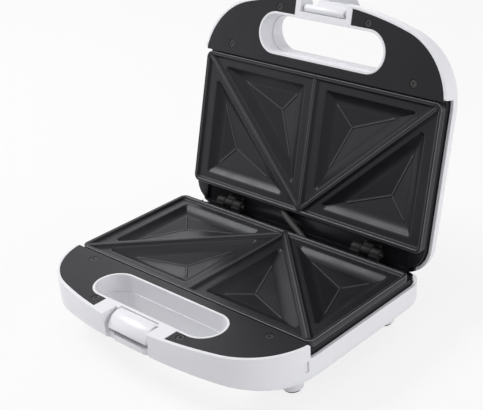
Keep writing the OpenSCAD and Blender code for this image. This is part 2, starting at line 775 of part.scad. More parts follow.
module knuckle(x, l) {
    translate([x, 0, 0]) rotate([0, 90, 0]) difference() {
        cylinder(d = barrel_d, h = l);
        translate([0, 0, -1]) cylinder(r = pin_d / 2 + pin_fit, h = l + 2);
    }
}

// A leaf that reaches from the barrels into its half, down to depth z, on a small foot.
module leaf(x, l, z) {
    y = -barrel_d / 2 - leaf_t + 0.8;
    translate([x, y, -z]) cube([l, leaf_t, z]);
}

knuckle_gap = 0.3;
base_channel = 12;
lid_channel = 7;

module base_hinges() {
    y = -barrel_d / 2 - leaf_t + 0.8;
    z = base_channel + part_gap / 2;
    out = barrel_l * 1.5 + knuckle_gap;
    color(black_plastic) in_base() for (s = [-1, 1])
        translate([s * hinge_x, hinge_y, part_gap / 2]) {
            for (k = [barrel_l / 2 + knuckle_gap, -out]) {
                knuckle(k, barrel_l);
                leaf(k, barrel_l, z);
            }
            translate([-out, y, -z]) cube([2 * out, leaf_t, 3]);
            translate([-out, y, -z]) cube([2 * out, 8, 1.6]);
        }
}

module lid_hinges() {
    y = -barrel_d / 2 - leaf_t + 0.8;
    z = lid_channel + part_gap / 2;
    color(black_plastic) in_lid() for (s = [-1, 1])
        translate([s * hinge_x, hinge_y, part_gap / 2]) {
            knuckle(-barrel_l / 2, barrel_l);
            leaf(-barrel_l / 2, barrel_l, z);
            translate([-barrel_l, y, -z]) cube([2 * barrel_l, 8, 1.4]);
        }
}

module hinge_pins() {
    out = barrel_l * 1.5 + knuckle_gap + 0.6;
    color(bright_steel) in_base() for (s = [-1, 1])
        translate([s * hinge_x - out, hinge_y, part_gap / 2])
            rotate([0, 90, 0]) cylinder(d = pin_d, h = 2 * out);
}

// ---- latch ---------------------------------------------------------------------------------

// Extrudes a drawing of depth and height along x, centred.
module across(w) { rotate([90, 0, 90]) translate([0, 0, -w / 2]) linear_extrude(w) children(); }

module catch_profile(r0, r1) {
    intersection() {
        difference() {
            circle(r1);
            if (r0 > 0) circle(r0);
        }
        polygon([[0, 1], [0, 2 * r1], [-2 * r1, 2 * r1], [-2 * r1, 1]]);
    }
}

module catch_nose() {
    c = [-notch_back, -0.5 - catch_r];
    t = 1.8;
    color(white_plastic) in_base() {
        across(catch_w) {
            translate(c) catch_profile(catch_r - t, catch_r);
            translate([c[0] - 0.1, c[1] + catch_r - t]) square([2.4, t]);
        }
        for (x = [0.75 - catch_w / 2, 0, catch_w / 2 - 0.75]) translate([x, 0, 0]) across(1.5)
            translate([c[0], c[1]]) intersection() {
                catch_profile(0, catch_r - t / 2);
                translate([-2 * catch_r, 0]) square([2 * catch_r - 0.1, 2 * catch_r]);
            }
    }
}

module clip_profile() {
    front = clip_front;
    r0 = clip_reach;
    r1 = clip_far;
    circle(3);
    translate([-front, -clip_t / 2]) square([front, clip_t]);
    translate([-front, -clip_t / 2]) square([clip_t, sqrt(r0 * r0 - front * front) + clip_t]);
    intersection() {
        difference() {
            circle(r1);
            circle(r0);
        }
        polygon([[-hook_tip, 0], [-hook_tip, 2 * r1], [-front, 2 * r1], [-front, 0]]);
    }
}

module latch_clip() {
    far = clip_far;
    r = 4;
    color(white_plastic) in_clip() difference() {
        intersection() {
            across(clip_w) clip_profile();
            translate([0, big / 2, 0]) rotate([90, 0, 0]) linear_extrude(big) {
                translate([-clip_w / 2, -5]) square([clip_w, far + 5 - r]);
                translate([r - clip_w / 2, -5]) square([clip_w - 2 * r, far + 5]);
                for (s = [-1, 1]) translate([s * (clip_w / 2 - r), far - r]) circle(r);
            }
        }
        rotate([0, 90, 0]) cylinder(r = clip_pin_d / 2 + pin_fit, h = clip_w + 2, center = true);
    }
}

module clip_pin() {
    l = 2 * notch_half + 4;
    color(bright_steel) in_lid() translate([-l / 2, -clip_y, -clip_z]) rotate([0, 90, 0])
        cylinder(d = clip_pin_d, h = l);
}

// ---- lamps in the lid ----------------------------------------------------------------------

module lens(s) {
    z = -lid_depth + wall + 0.05;
    in_lid() translate([s * lens_x, lens_y, 0]) {
        translate([0, 0, -lid_depth - 0.5]) cylinder(d = lens_d, h = wall + 1);
        translate([0, 0, z]) cylinder(d = lens_d + 4, h = 1.2);
    }
}

module power_lens() { color([0.75, 0.10, 0.08]) lens(-1); }

module ready_lens() { color([0.12, 0.55, 0.20]) lens(1); }

module indicator_lamps() {
    z = -lid_depth + wall + 1.3 + 2.2;
    color(ceramic) in_lid() for (s = [-1, 1]) {
        bar([s * lens_x, lens_y - 5, z], [s * lens_x, lens_y + 5, z], 4.4);
        for (k = [-1, 1]) bar([s * lens_x + k, lens_y + 5, z], [s * lens_x + k, lens_y + 12, z], 0.8);
    }
}

// ---- sleeve that leads the wires from the lower half into the lid ---------------------------------

sleeve_dip = 0.8;
sleeve_a = [sleeve_x, sleeve_y, -base_channel - sleeve_dip];
sleeve_b = [-sleeve_x, open_y(sleeve_y, lid_channel + sleeve_dip),
    open_z(sleeve_y, lid_channel + sleeve_dip)];
sleeve_pull = 9;

function sleeve_at(t) = let(s = 1 - t, a = sleeve_a + [0, 0, sleeve_pull],
        b = sleeve_b + sleeve_pull * [0, -sin(open_angle), -cos(open_angle)])
    s * s * s * sleeve_a + 3 * s * s * t * a + 3 * s * t * t * b + t * t * t * sleeve_b;

// A round bar of faces along points that never run along aside: rings of corners, and two ends.
module swept(points, radii, sides, aside = [1, 0, 0]) {
    n = len(points);
    rings = [for (i = [0:n - 1]) let(
            along = unit(points[min(i + 1, n - 1)] - points[max(i - 1, 0)]),
            u = unit(cross(along, aside)),
            v = cross(along, u))
        for (k = [0:sides - 1])
            points[i] + radii[i] * (u * cos(360 * k / sides) + v * sin(360 * k / sides))];
    skin = [for (i = [0:n - 2]) for (k = [0:sides - 1]) let(
            a = i * sides + k, b = i * sides + (k + 1) % sides)
        for (f = [[a, b, a + sides], [b, b + sides, a + sides]]) f];
    ends = [for (k = [1:sides - 2]) for (f = [[0, k + 1, k],
            [(n - 1) * sides, (n - 1) * sides + k, (n - 1) * sides + k + 1]]) f];
    polyhedron(rings, concat(skin, ends));
}

module lead_sleeve() {
    n = 14;
    color(rubber_black) in_base()
        swept([for (i = [0:n]) sleeve_at(i / n)], [for (i = [0:n]) sleeve_d / 2], 12);
}

// ---- every piece by its name -------------------------------------------------------------------

module base_handle_panel() { in_base() handle_panel(base_bridge); }
module lid_handle_panel() { in_lid() handle_panel(lid_bridge); }
module base_panel_screws() { in_base() panel_screws(); }
module lid_panel_screws() { in_lid() panel_screws(); }
module base_frame() { in_base() carrier(base_channel, big / 2, sleeve_x); }
module lid_frame() { in_lid() carrier(lid_channel, cheek_x, -sleeve_x); }
module base_frame_screws() { in_base() frame_screws(); }
module lid_frame_screws() { in_lid() frame_screws(); }
module lower_plate() { in_base() cooking_plate(); }
module upper_plate() { in_lid() cooking_plate(); }
module lower_plate_screws() { in_base() plate_screws(); }
module upper_plate_screws() { in_lid() plate_screws(); }
module lower_heater() { in_base() heater(); }
module upper_heater() { in_lid() heater(); }
module lower_heater_saddles() { in_base() heater_saddles(); }
module upper_heater_saddles() { in_lid() heater_saddles(); }
module lower_reflector() { in_base() reflector(); }
module upper_reflector() { in_lid() reflector(); }

base_shell();
base_handle_panel();
base_panel_screws();
base_frame();
base_frame_screws();
lower_plate();
lower_plate_screws();
lower_heater();
lower_heater_saddles();
lower_reflector();
thermostat();
thermal_fuse();
terminal_block();
cord_inlet_bush();
catch_nose();
foot_pads();
base_hinges();
hinge_pins();
lead_sleeve();
lid_shell();
lid_handle_panel();
lid_panel_screws();
lid_frame();
lid_frame_screws();
upper_plate();
upper_plate_screws();
upper_heater();
upper_heater_saddles();
upper_reflector();
lid_hinges();
power_lens();
ready_lens();
indicator_lamps();
latch_clip();
clip_pin();
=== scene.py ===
"""A white clamshell sandwich toaster with its lid open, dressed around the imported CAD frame."""

import json
import math

import bmesh
import bpy
import numpy as np
from mathutils import Matrix, Vector


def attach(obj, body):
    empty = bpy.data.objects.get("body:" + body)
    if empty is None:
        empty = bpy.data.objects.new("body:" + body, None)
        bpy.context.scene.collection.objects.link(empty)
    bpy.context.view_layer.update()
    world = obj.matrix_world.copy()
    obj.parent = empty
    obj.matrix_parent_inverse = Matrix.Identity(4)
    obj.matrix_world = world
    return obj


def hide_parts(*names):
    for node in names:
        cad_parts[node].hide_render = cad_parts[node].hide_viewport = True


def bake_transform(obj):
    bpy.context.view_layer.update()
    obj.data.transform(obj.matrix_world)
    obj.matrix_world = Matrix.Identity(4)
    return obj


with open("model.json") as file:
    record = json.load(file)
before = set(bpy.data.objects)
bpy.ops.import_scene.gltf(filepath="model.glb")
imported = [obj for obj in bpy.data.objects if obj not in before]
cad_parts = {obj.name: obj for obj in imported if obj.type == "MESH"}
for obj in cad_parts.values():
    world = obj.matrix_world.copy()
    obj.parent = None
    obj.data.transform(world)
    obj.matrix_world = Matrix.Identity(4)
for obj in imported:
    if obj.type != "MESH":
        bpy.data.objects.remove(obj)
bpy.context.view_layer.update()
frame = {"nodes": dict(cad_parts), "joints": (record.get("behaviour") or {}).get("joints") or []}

MM = 0.001

# ---- sizes, in millimetres, that follow the source's -----------------------------------------

# cooking plates: outline, sloped rim, ridges
PLATE_W, PLATE_D, PLATE_R, SKIRT, CAST = 220.0, 104.4, 5.0, 4.8, 2.5
RIM_W, RIM_SLOPE, FLAT, RIDGE_TOP, RIDGE_FOOT, RIDGE_MEET = 2.2, 1.8, 2.3, 1.9, 6.0, 2.9
RIDGE_SIDE, RIDGE_FRONT = 3.0, 2.5
# pockets: how far they stay off the plate's edges and ridges, their corners, their floors
POCKET_SIDE, POCKET_REAR, POCKET_FRONT, POCKET_MID = 11.5, 9.0, 9.2, 10.0
DIAG_OUT, DIAG_IN, POCKET_R = 6.2, 4.4, 2.6
PYRAMID_INSET, FOOT_DEPTH, APEX_DEPTH = 9.5, 6.6, 8.5
# housings: plan, depths, edges, lowered walls
WALL, PLATE_GAP, REACH, BOW_R, SHOULDER_R, REAR_R = 2.2, 1.3, 55.0, 283.0, 53.0, 20.0
RUN, FRONT_RUN, RISE_LIP, DRAFT = 77.0, 0.61, 6.0, 1.0
BASE_DEPTH, BASE_R, BASE_LIP, LID_DEPTH, LID_R, LID_LIP = 28.5, 8.0, 16.0, 32.0, 24.0, 8.0
SIDE_DROP, REAR_DROP, HIGH_END, REAR_LOW, REAR_LEDGE = 9.0, 13.0, -2.8, 104.0, 6.0
# handles: finger opening with its collar, black panel, screws with their fit
OVAL_W, OVAL_D, OVAL_Y, COLLAR, BAND, STEP = 114.0, 28.0, 24.0, 1.8, 13.0, 0.7
PANEL_T, PANEL_GAP, BASE_BRIDGE, LID_BRIDGE = 2.2, 1.4, 34.0, 26.0
SCREW_HEAD_R, SCREW_SINK, SCREW_R = 3.1, 1.1, 1.75
# notch for the latch, its shelf, the catch's seat and the room that the clip swings in
NOTCH, NOTCH_BACK, NOTCH_FLOOR, SHELF, SHELF_SET, SHELF_R = 21.0, 43.0, 14.0, 15.5, 2.2, 2.5
SEAT_HALF, SEAT_FRONT, SEAT_BACK, SEAT_SINK = 18.0, 48.0, 40.3, 2.6
LID_NOTCH, SWING_BACK, SWING_TOP = 90.0, 3.5, 5.6
# cord inlet, lenses, hinge line, feet
INLET_X, INLET_Z, INLET_R = -40.0, 19.6, 5.2
LENS_X, LENS_Y, LENS_R = 9.0, 34.0, 4.5
OPEN, HINGE_GAP, HINGE_BACK, GAP = 105.2, 9.0, 8.6, 0.6
FOOT_D, FOOT_H, PAD_T, FOOT_X, FOOT_FRONT, FOOT_REAR = 15.0, 17.0, 1.6, 88.0, 5.5, 19.0
# wire sleeve: place and radius, how far it runs straight out, its ends' heights in each half
SLEEVE_X, SLEEVE_BACK, SLEEVE_R, SLEEVE_PULL = 18.0, 5.6, 2.5, 9.0
SLEEVE_BASE_Z, SLEEVE_LID_Z = -12.8, -7.8
FIT = 0.3

# ---- sizes that only the scene has, in millimetres -------------------------------------------

# housings: the softened rim, what the lowered walls keep, the feet's lower edge
RIM_SOFT, DROP_SKIN, FOOT_SOFT, FOOT_TAPER = 0.5, 0.4, 0.6, 0.93
# the recess below each side wall's step
RECESS_Y0, RECESS_Y1, RECESS_Z0, RECESS_Z1, RECESS_SKIN = -4.0, -1.4, -18.0, -10.5, 1.7
# plates: grid, the small steps in which their edges fall, softened ridges
GRID, EDGE_STEP, EDGE_LOWER, HEM = 0.45, 0.35, 0.25, 0.3
RIDGE_SOFT, CROSS_SOFT = 0.22, 0.25
# pockets: scooped walls with their lip, the fine lines along the pyramids' edges
SCOOP_RUN, SCOOP_DEPTH, SCOOP_SOFT, POCKET_LIP = 9.5, 4.3, 0.7, 1.4
CREASE_H, CREASE_W, CREASE_LEAD = 0.6, 1.5, 1.5
# the sleeve's ribs
RIBS, RIB_ROOT, RIB_H, SLEEVE_RINGS, SLEEVE_SIDES = 24, 0.22, 0.2, 121, 20
# cutters reach past the part by these, and end at unlike heights, so that no two faces coincide
FRONT_OUT, SIDE_OUT, REAR_OUT, DEEP = 80.0, 150.0, 200.0, 80.0
BOW_STEPS, EDGE_STEPS, ROUND_STEPS, RISE_STEPS = 28, 12, 40, 26

# ---- places worked out from them -------------------------------------------------------------

HALF_W = PLATE_W / 2 + PLATE_GAP + WALL
HINGE_Y = PLATE_D + HINGE_GAP
REAR_Y = HINGE_Y + HINGE_BACK
BOW_CY = BOW_R - REACH
SHOULDER_X = HALF_W - SHOULDER_R
SHOULDER_CY = BOW_CY - math.sqrt((BOW_R - SHOULDER_R) ** 2 - SHOULDER_X**2)
BOW_ANGLE = math.degrees(math.atan2(SHOULDER_CY - BOW_CY, SHOULDER_X))
DECK = BASE_DEPTH + FOOT_H
HINGE = next(j for j in frame["joints"] if j["name"] == "lid_hinge")["pos_m"]
MIDDLE_Y = HINGE_Y - HINGE[1] / MM
COLLAR_HALF, COLLAR_R = (OVAL_W - OVAL_D) / 2, OVAL_D / 2
SCREW_SPOTS = ((85.0, -9.0), (41.0, -43.3))
SCREWS = [(s * x, y) for s in (-1, 1) for x, y in SCREW_SPOTS]
BAR_Y = -OVAL_Y - COLLAR_R
FEET = [(s * FOOT_X, y) for s in (-1, 1) for y in (FOOT_FRONT, REAR_Y - FOOT_REAR)]

TO_BASE = Matrix.Translation((0, -MIDDLE_Y * MM, DECK * MM))
TO_LID = (
    TO_BASE
    @ Matrix.Translation((0, HINGE_Y * MM, GAP / 2 * MM))
    @ Matrix.Rotation(math.radians(-OPEN), 4, "X")
    @ Matrix.Translation((0, -HINGE_Y * MM, GAP / 2 * MM))
    @ Matrix.Scale(-1, 4, (0, 0, 1))
)
HALF = {"base": TO_BASE, "lid": TO_LID}

# ---- outlines --------------------------------------------------------------------------------


def arc(cx, cy, r, a0, a1, n):
    """Points on a circle's arc, from angle a0 to a1 in degrees, in n steps."""
    a = np.radians(np.linspace(a0, a1, n + 1))
    return np.stack([cx + r * np.cos(a), cy + r * np.sin(a)], 1)


def ring(x, y, r, n=ROUND_STEPS):
    """A whole circle in n steps."""
    return arc(x, y, r, 0, 360, n)[:-1]


def plan(d):
    """The housing seen from above, drawn in by d, anticlockwise from the bow's left end."""
    sr, rr, hw = max(SHOULDER_R - d, 4), max(REAR_R - d, 2), HALF_W - d
    rx, ry = hw - rr, REAR_Y - d - rr
    return np.concatenate(
        [
            arc(0, BOW_CY, BOW_R - d, -180 - BOW_ANGLE, BOW_ANGLE, BOW_STEPS)[:-1],
            arc(hw - sr, SHOULDER_CY, sr, BOW_ANGLE, 0, BOW_STEPS)[:-1],
            np.linspace((hw, SHOULDER_CY), (hw, ry), EDGE_STEPS)[:-1],
            arc(rx, ry, rr, 0, 90, EDGE_STEPS)[:-1],
            np.linspace((rx, ry + rr), (-rx, ry + rr), EDGE_STEPS)[:-1],
            arc(-rx, ry, rr, 90, 180, EDGE_STEPS)[:-1],
            np.linspace((-hw, ry), (-hw, SHOULDER_CY), EDGE_STEPS)[:-1],
            arc(sr - hw, SHOULDER_CY, sr, 180, 180 - BOW_ANGLE, BOW_STEPS)[:-1],
        ]
    )


def drawn_in(z, depth, r):
    """How far the outside is drawn in at depth z: its draft, then the rounding of its edge."""
    u = min(1, max(0, (z - depth + r) / r))
    return DRAFT * z / depth + r * (1 - math.sqrt(1 - u * u))


def rise(t, depth, lip):
    """The curve of the handle's underside, from its lip back to the full depth, as (y, z)."""
    s, z1 = 1 - t, lip + RISE_LIP
    return (
        -REACH + 3 * s * t * t * FRONT_RUN * RUN + t**3 * RUN,
        s**3 * lip + 3 * s * s * t * z1 + 3 * s * t * t * depth + t**3 * depth,
    )


def finger_oval(r):
    """The finger opening's outline, with round ends of radius r."""
    ends = [arc(COLLAR_HALF, 0, r, -90, 90, 20), arc(-COLLAR_HALF, 0, r, 90, 270, 20)]
    return np.concatenate(ends) + np.array([0, -OVAL_Y])


def box2(x0, y0, x1, y1):
    """A rectangle, anticlockwise."""
    return np.array([(x0, y0), (x1, y0), (x1, y1), (x0, y1)], float)


def front_box(half, back):
    """A rectangle 2 * half wide, from well in front of the handle to y = back."""
    return box2(-half, -FRONT_OUT, half, back)


def rounded_box(x0, y0, x1, y1, r):
    """A rectangle with corners of radius r, anticlockwise."""
    return np.concatenate(
        [
            arc(x1 - r, y0 + r, r, -90, 0, 6),
            arc(x1 - r, y1 - r, r, 0, 90, 6),
            arc(x0 + r, y1 - r, r, 90, 180, 6),
            arc(x0 + r, y0 + r, r, 180, 270, 6),
        ]
    )


# ---- meshes ----------------------------------------------------------------------------------


def make(name, bm_or_mesh):
    """An object from a bmesh or a mesh, in the scene."""
    if isinstance(bm_or_mesh, bmesh.types.BMesh):
        mesh = bpy.data.meshes.new(name)
        bm_or_mesh.to_mesh(mesh)
        bm_or_mesh.free()
    else:
        mesh = bm_or_mesh
        mesh.name = name
    obj = bpy.data.objects.new(name, mesh)
    bpy.context.scene.collection.objects.link(obj)
    return obj


def loft(rings):
    """A closed solid through rings of equal length, (outline, z) pairs from top to bottom."""
    bm = bmesh.new()
    rows = [[bm.verts.new((x * MM, y * MM, z * MM)) for x, y in p] for p, z in rings]
    n = len(rows[0])
    for a, b in zip(rows, rows[1:]):
        for i in range(n):
            j = (i + 1) % n
            bm.faces.new((a[i], b[i], b[j], a[j]))
    bm.faces.new(rows[0])
    bm.faces.new(rows[-1][::-1])
    bmesh.ops.remove_doubles(bm, verts=bm.verts, dist=2e-6)
    bmesh.ops.recalc_face_normals(bm, faces=bm.faces)
    return bm


def prism(outline, z0, z1):
    """An outline drawn up from z0 to z1."""
    return loft([(outline, z1), (outline, z0)])


def pillow(depth, r, lip, skin=0.0, top=0.0, soft=0.0):
    """A half's outside, or with skin its inside, down from top."""
    rings = [(plan(skin), top)]
    if soft:
        turns = np.radians([0, 30, 60, 90])
        rings = [(plan(soft * (1 - math.sin(a))), -soft * (1 - math.cos(a))) for a in turns]
    for i in range(RISE_STEPS + 1):
        y, z = rise(i / RISE_STEPS, depth, lip)
        p = plan(skin + drawn_in(z, depth, r))
        # points before the curve move back to it, blended over k on either side
        k, front = 2.5, y + skin
        d = p[:, 1] - front
        p[:, 1] = np.where(d > k, p[:, 1], np.where(d < -k, front, front + (d + k) ** 2 / (4 * k)))
        rings.append((p, -z))
    return loft(rings)


def boolean(obj, other, op):
    """Joins, cuts or keeps what is common with another object, which is used up."""
    mod = obj.modifiers.new("b", "BOOLEAN")
    mod.operation, mod.solver, mod.object = op, "EXACT", other
    mod.use_hole_tolerant = False
    apply_all(obj)
    bpy.data.objects.remove(other)


def apply_all(obj):
    """Replaces the object's mesh by what its modifiers make of it."""
    graph = bpy.context.evaluated_depsgraph_get()
    mesh = bpy.data.meshes.new_from_object(obj.evaluated_get(graph), depsgraph=graph)
    obj.modifiers.clear()
    obj.data = mesh


def cut(obj, bm):
    """Takes a solid away from an object."""
    boolean(obj, make("cutter", bm), "DIFFERENCE")


def add(obj, bm):
    """Joins a solid to an object."""
    boolean(obj, make("adder", bm), "UNION")


def settle(obj, half, body, nodes, material, bevel=0.0, angle=32, clean=True):
    """Finishes a piece: place, edges, shading, material, body and what it stands for."""
    if clean:
        bm = bmesh.new()
        bm.from_mesh(obj.data)
        bmesh.ops.remove_doubles(bm, verts=bm.verts, dist=3e-6)
        bmesh.ops.dissolve_degenerate(bm, edges=bm.edges, dist=3e-6)
        bm.to_mesh(obj.data)
        bm.free()
    if half:
        obj.data.transform(HALF[half])
        if half == "lid":
            obj.data.flip_normals()
    if bevel:
        mod = obj.modifiers.new("edge", "BEVEL")
        mod.width, mod.segments, mod.limit_method = bevel * MM, 2, "ANGLE"
        mod.angle_limit = math.radians(angle)
        mod.harden_normals = False
        apply_all(obj)
    smooth(obj, angle)
    obj.data.materials.clear()
    obj.data.materials.append(material)
    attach(obj, body)
    if nodes:
        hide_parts(*nodes)


def smooth(obj, angle):
    """Shades smooth, and marks the edges sharper than angle as sharp."""
    bm = bmesh.new()
    bm.from_mesh(obj.data)
    limit = math.radians(angle)
    for f in bm.faces:
        f.smooth = True
    for e in bm.edges:
        e.smooth = len(e.link_faces) == 2 and e.calc_face_angle(0) < limit
    bm.to_mesh(obj.data)
    bm.free()


# ---- materials -------------------------------------------------------------------------------

PATCH_SCALE, SMUDGE_SCALE, GRAIN_MM, BEVEL_SAMPLES = 35.0, 60.0, 0.05, 4
# the share of Pointiness at which the painted highlight starts on an edge, and at which it is full
HIGHLIGHT_FROM, HIGHLIGHT_TO = 0.512, 0.55


def material(
    name, colour, rough, metal=0.0, vary=0.04, mottle=0.05, bump=0.1, grain=1800.0, round_mm=0.0,
    specular=0.5, tint=(1, 1, 1), coat=0.0, coat_rough=0.2, edge_highlight=0.0, edge_highlight_colour=(0.3, 0.3, 0.3),
):
    """A principled material with mottled roughness, a fine bump and softened edges in its nodes,
    and where asked a painted highlight on convex edges.
    """
    mat = bpy.data.materials.new(name)
    mat.use_nodes = True
    nodes, links = mat.node_tree.nodes, mat.node_tree.links
    shader = nodes["Principled BSDF"]
    shader.inputs["Metallic"].default_value = metal
    shader.inputs["IOR"].default_value = 1.5
    shader.inputs["Specular IOR Level"].default_value = specular
    shader.inputs["Specular Tint"].default_value = (*tint, 1)
    shader.inputs["Coat Weight"].default_value = coat
    shader.inputs["Coat Roughness"].default_value = coat_rough
    where = nodes.new("ShaderNodeTexCoord").outputs["Object"]

    def noise(scale, detail=3.0):
        """Cloudy noise, scale bumps to a metre."""
        n = nodes.new("ShaderNodeTexNoise")
        n.inputs["Scale"].default_value = scale
        n.inputs["Detail"].default_value = detail
        links.new(where, n.inputs["Vector"])
        return n.outputs["Fac"]

    def spread(source, low, high):
        """The noise's middle range spread from low to high."""
        m = nodes.new("ShaderNodeMapRange")
        m.inputs["From Min"].default_value, m.inputs["From Max"].default_value = 0.3, 0.7
        m.inputs["To Min"].default_value, m.inputs["To Max"].default_value = low, high
        links.new(source, m.inputs["Value"])
        return m.outputs["Result"]

    tone = nodes.new("ShaderNodeMix")
    tone.data_type = "RGBA"
    tone.inputs["A"].default_value = (*[c * (1 - vary) for c in colour], 1)
    tone.inputs["B"].default_value = (*[min(1, c * (1 + vary)) for c in colour], 1)
    links.new(spread(noise(PATCH_SCALE), 0, 1), tone.inputs["Factor"])
    base = tone.outputs["Result"]
    # painted highlight: convex edges, found by Pointiness, are given a lighter colour
    if edge_highlight:
        geometry = nodes.new("ShaderNodeNewGeometry")
        edge = nodes.new("ShaderNodeMapRange")
        edge.inputs["From Min"].default_value = HIGHLIGHT_FROM
        edge.inputs["From Max"].default_value = HIGHLIGHT_TO
        edge.inputs["To Max"].default_value = edge_highlight
        links.new(geometry.outputs["Pointiness"], edge.inputs["Value"])
        highlight_mix = nodes.new("ShaderNodeMix")
        highlight_mix.data_type = "RGBA"
        highlight_mix.inputs["B"].default_value = (*edge_highlight_colour, 1)
        links.new(edge.outputs["Result"], highlight_mix.inputs["Factor"])
        links.new(base, highlight_mix.inputs["A"])
        base = highlight_mix.outputs["Result"]
    links.new(base, shader.inputs["Base Color"])
    smudge = spread(noise(SMUDGE_SCALE), rough - mottle, rough + mottle)
    links.new(smudge, shader.inputs["Roughness"])
    relief = nodes.new("ShaderNodeBump")
    relief.inputs["Strength"].default_value = bump
    relief.inputs["Distance"].default_value = GRAIN_MM * MM
    links.new(noise(grain, 2.0), relief.inputs["Height"])
    if round_mm:
        rounder = nodes.new("ShaderNodeBevel")
        rounder.samples = BEVEL_SAMPLES
        rounder.inputs["Radius"].default_value = round_mm * MM
        links.new(rounder.outputs["Normal"], relief.inputs["Normal"])
    links.new(relief.outputs["Normal"], shader.inputs["Normal"])
    return mat


WHITE = material(
    "white_shell", (0.80, 0.80, 0.84), 0.34, vary=0.006, mottle=0.03, bump=0.03,
    grain=900, round_mm=0.6,
)
BLACK = material(
    "black_plastic", (0.011, 0.011, 0.013), 0.34, vary=0.1, mottle=0.04, bump=0.14,
    grain=2600, round_mm=0.35, specular=0.2, tint=(0.93, 0.94, 1.0),
)
# the coated plate's rims, ridges and creases carry a painted highlight, a lighter colour on their
# convex edges
COATED = material(
    "coated_plate", (0.012, 0.012, 0.014), 0.33, vary=0.12, mottle=0.04, bump=0.12,
    grain=2200, edge_highlight=0.6, edge_highlight_colour=(0.24, 0.24, 0.255), specular=0.21, tint=(0.93, 0.94, 1.0),
)
HINGE = material(
    "hinge_plastic", (0.009, 0.009, 0.01), 0.5, vary=0.1, bump=0.2, grain=2400, round_mm=0.4,
    specular=0.15,
)
STEEL = material("bright_steel", (0.62, 0.62, 0.64), 0.28, metal=1.0, bump=0.1, grain=900)
DARK_STEEL = material(
    "dark_steel", (0.03, 0.03, 0.032), 0.38, metal=0.4, bump=0.1, grain=900, round_mm=0.15,
)
CERAMIC = material("steatite", (0.72, 0.68, 0.58), 0.45, bump=0.2, grain=1500)
RUBBER = material("rubber", (0.022, 0.022, 0.022), 0.6, bump=0.25, grain=1600, round_mm=0.3)
RED = material("red_lens", (0.55, 0.02, 0.015), 0.12, bump=0.03, coat=0.5, coat_rough=0.08)
GREEN = material("green_lens", (0.02, 0.30, 0.05), 0.12, bump=0.03, coat=0.5, coat_rough=0.08)

# ---- shells ----------------------------------------------------------------------------------


def oval_prism(grow, z0, z1):
    """The finger opening, larger all round by grow."""
    return prism(finger_oval(COLLAR_R + grow), z0, z1)


def half_shell(name, depth, r, lip, bridge, notch_z):
    """Outside less inside, with the collar, the deck beside the notch and the notch's walls."""
    obj = make(name, pillow(depth, r, lip, soft=RIM_SOFT))
    hollow = make("hollow", pillow(depth - WALL, r - WALL, lip, WALL, top=1.0))
    cut(hollow, prism(front_box(bridge, BAR_Y), -WALL, 5))
    cut(hollow, prism(front_box(NOTCH + WALL, BAR_Y), -notch_z - WALL, 6))
    cut(hollow, prism(front_box(NOTCH + WALL, SHELF_SET + WALL + 2 - REACH), -DEEP - 11, 8))
    cut(hollow, oval_prism(COLLAR, -DEEP, 7))
    boolean(obj, hollow, "DIFFERENCE")
    cut(obj, oval_prism(0, -BAND, 3))
    cut(obj, oval_prism(-STEP, -DEEP, 4))
    cut(obj, prism(front_box(NOTCH, -NOTCH_BACK), -notch_z, 5))
    return obj


def lower_sides(obj):
    """Lowers the wall beside and behind the plate, down to a step at the handle's end."""
    drop = make("drop", prism(box2(-SIDE_OUT, HIGH_END, SIDE_OUT, REAR_OUT), -SIDE_DROP, 30))
    cut(drop, prism(plan(WALL + DRAFT + DROP_SKIN), -60, 60))
    boolean(obj, drop, "DIFFERENCE")


def add_foot(obj, x, y):
    """A round foot down to its rubber pad, with a softened lower edge."""
    outline, low, centre = ring(x, y, FOOT_D / 2), -BASE_DEPTH - FOOT_H + PAD_T, np.array([x, y])
    end = centre + (outline - centre) * FOOT_TAPER
    add(obj, loft([(outline, -BASE_DEPTH + 3), (outline, low + FOOT_SOFT), (end, low)]))


def inlet_hole():
    """The cord inlet's hole through the rear wall."""
    bm = prism(ring(INLET_X, -INLET_Z, INLET_R), REAR_Y - 8, REAR_Y + 3)
    swap_y_z = Matrix(((1, 0, 0, 0), (0, 0, 1, 0), (0, 1, 0, 0), (0, 0, 0, 1)))
    bmesh.ops.transform(bm, matrix=swap_y_z, verts=bm.verts)
    bmesh.ops.recalc_face_normals(bm, faces=bm.faces)
    return bm


def base_shell():
    """The lower housing: feet, lowered walls, the notch's shelf, seat, recesses and inlet."""
    obj = half_shell("lower_housing", BASE_DEPTH, BASE_R, BASE_LIP, BASE_BRIDGE, NOTCH_FLOOR)
    for x, y in FEET:
        add_foot(obj, x, y)
    lower_sides(obj)
    cut(obj, prism(box2(-REAR_LOW, REAR_Y - REAR_LEDGE, REAR_LOW, REAR_OUT), -REAR_DROP, 31))
    front = box2(-NOTCH, -REACH - 5, NOTCH, SHELF_SET + 2 - REACH)
    face = make("face", prism(front, -DEEP - 15, 0.1 - NOTCH_FLOOR))
    shelf = rounded_box(-SHELF, SHELF_SET - REACH, SHELF, 20 - REACH, SHELF_R)
    cut(face, prism(shelf, -DEEP - 19, 0))
    boolean(obj, face, "DIFFERENCE")
    for x in (-130, 90):
        side = box2(x, HIGH_END + RECESS_Y0, x + 40, HIGH_END + RECESS_Y1)
        recess = make("recess", prism(side, RECESS_Z0, RECESS_Z1))
        cut(recess, prism(plan(RECESS_SKIN), -60, 60))
        boolean(obj, recess, "DIFFERENCE")
    seat = box2(-SEAT_HALF - FIT, -SEAT_FRONT, SEAT_HALF + FIT, -SEAT_BACK)
    cut(obj, prism(seat, -SEAT_SINK, 8))
    cut(obj, inlet_hole())
    settle(obj, "base", "base", ["base_shell"], WHITE)


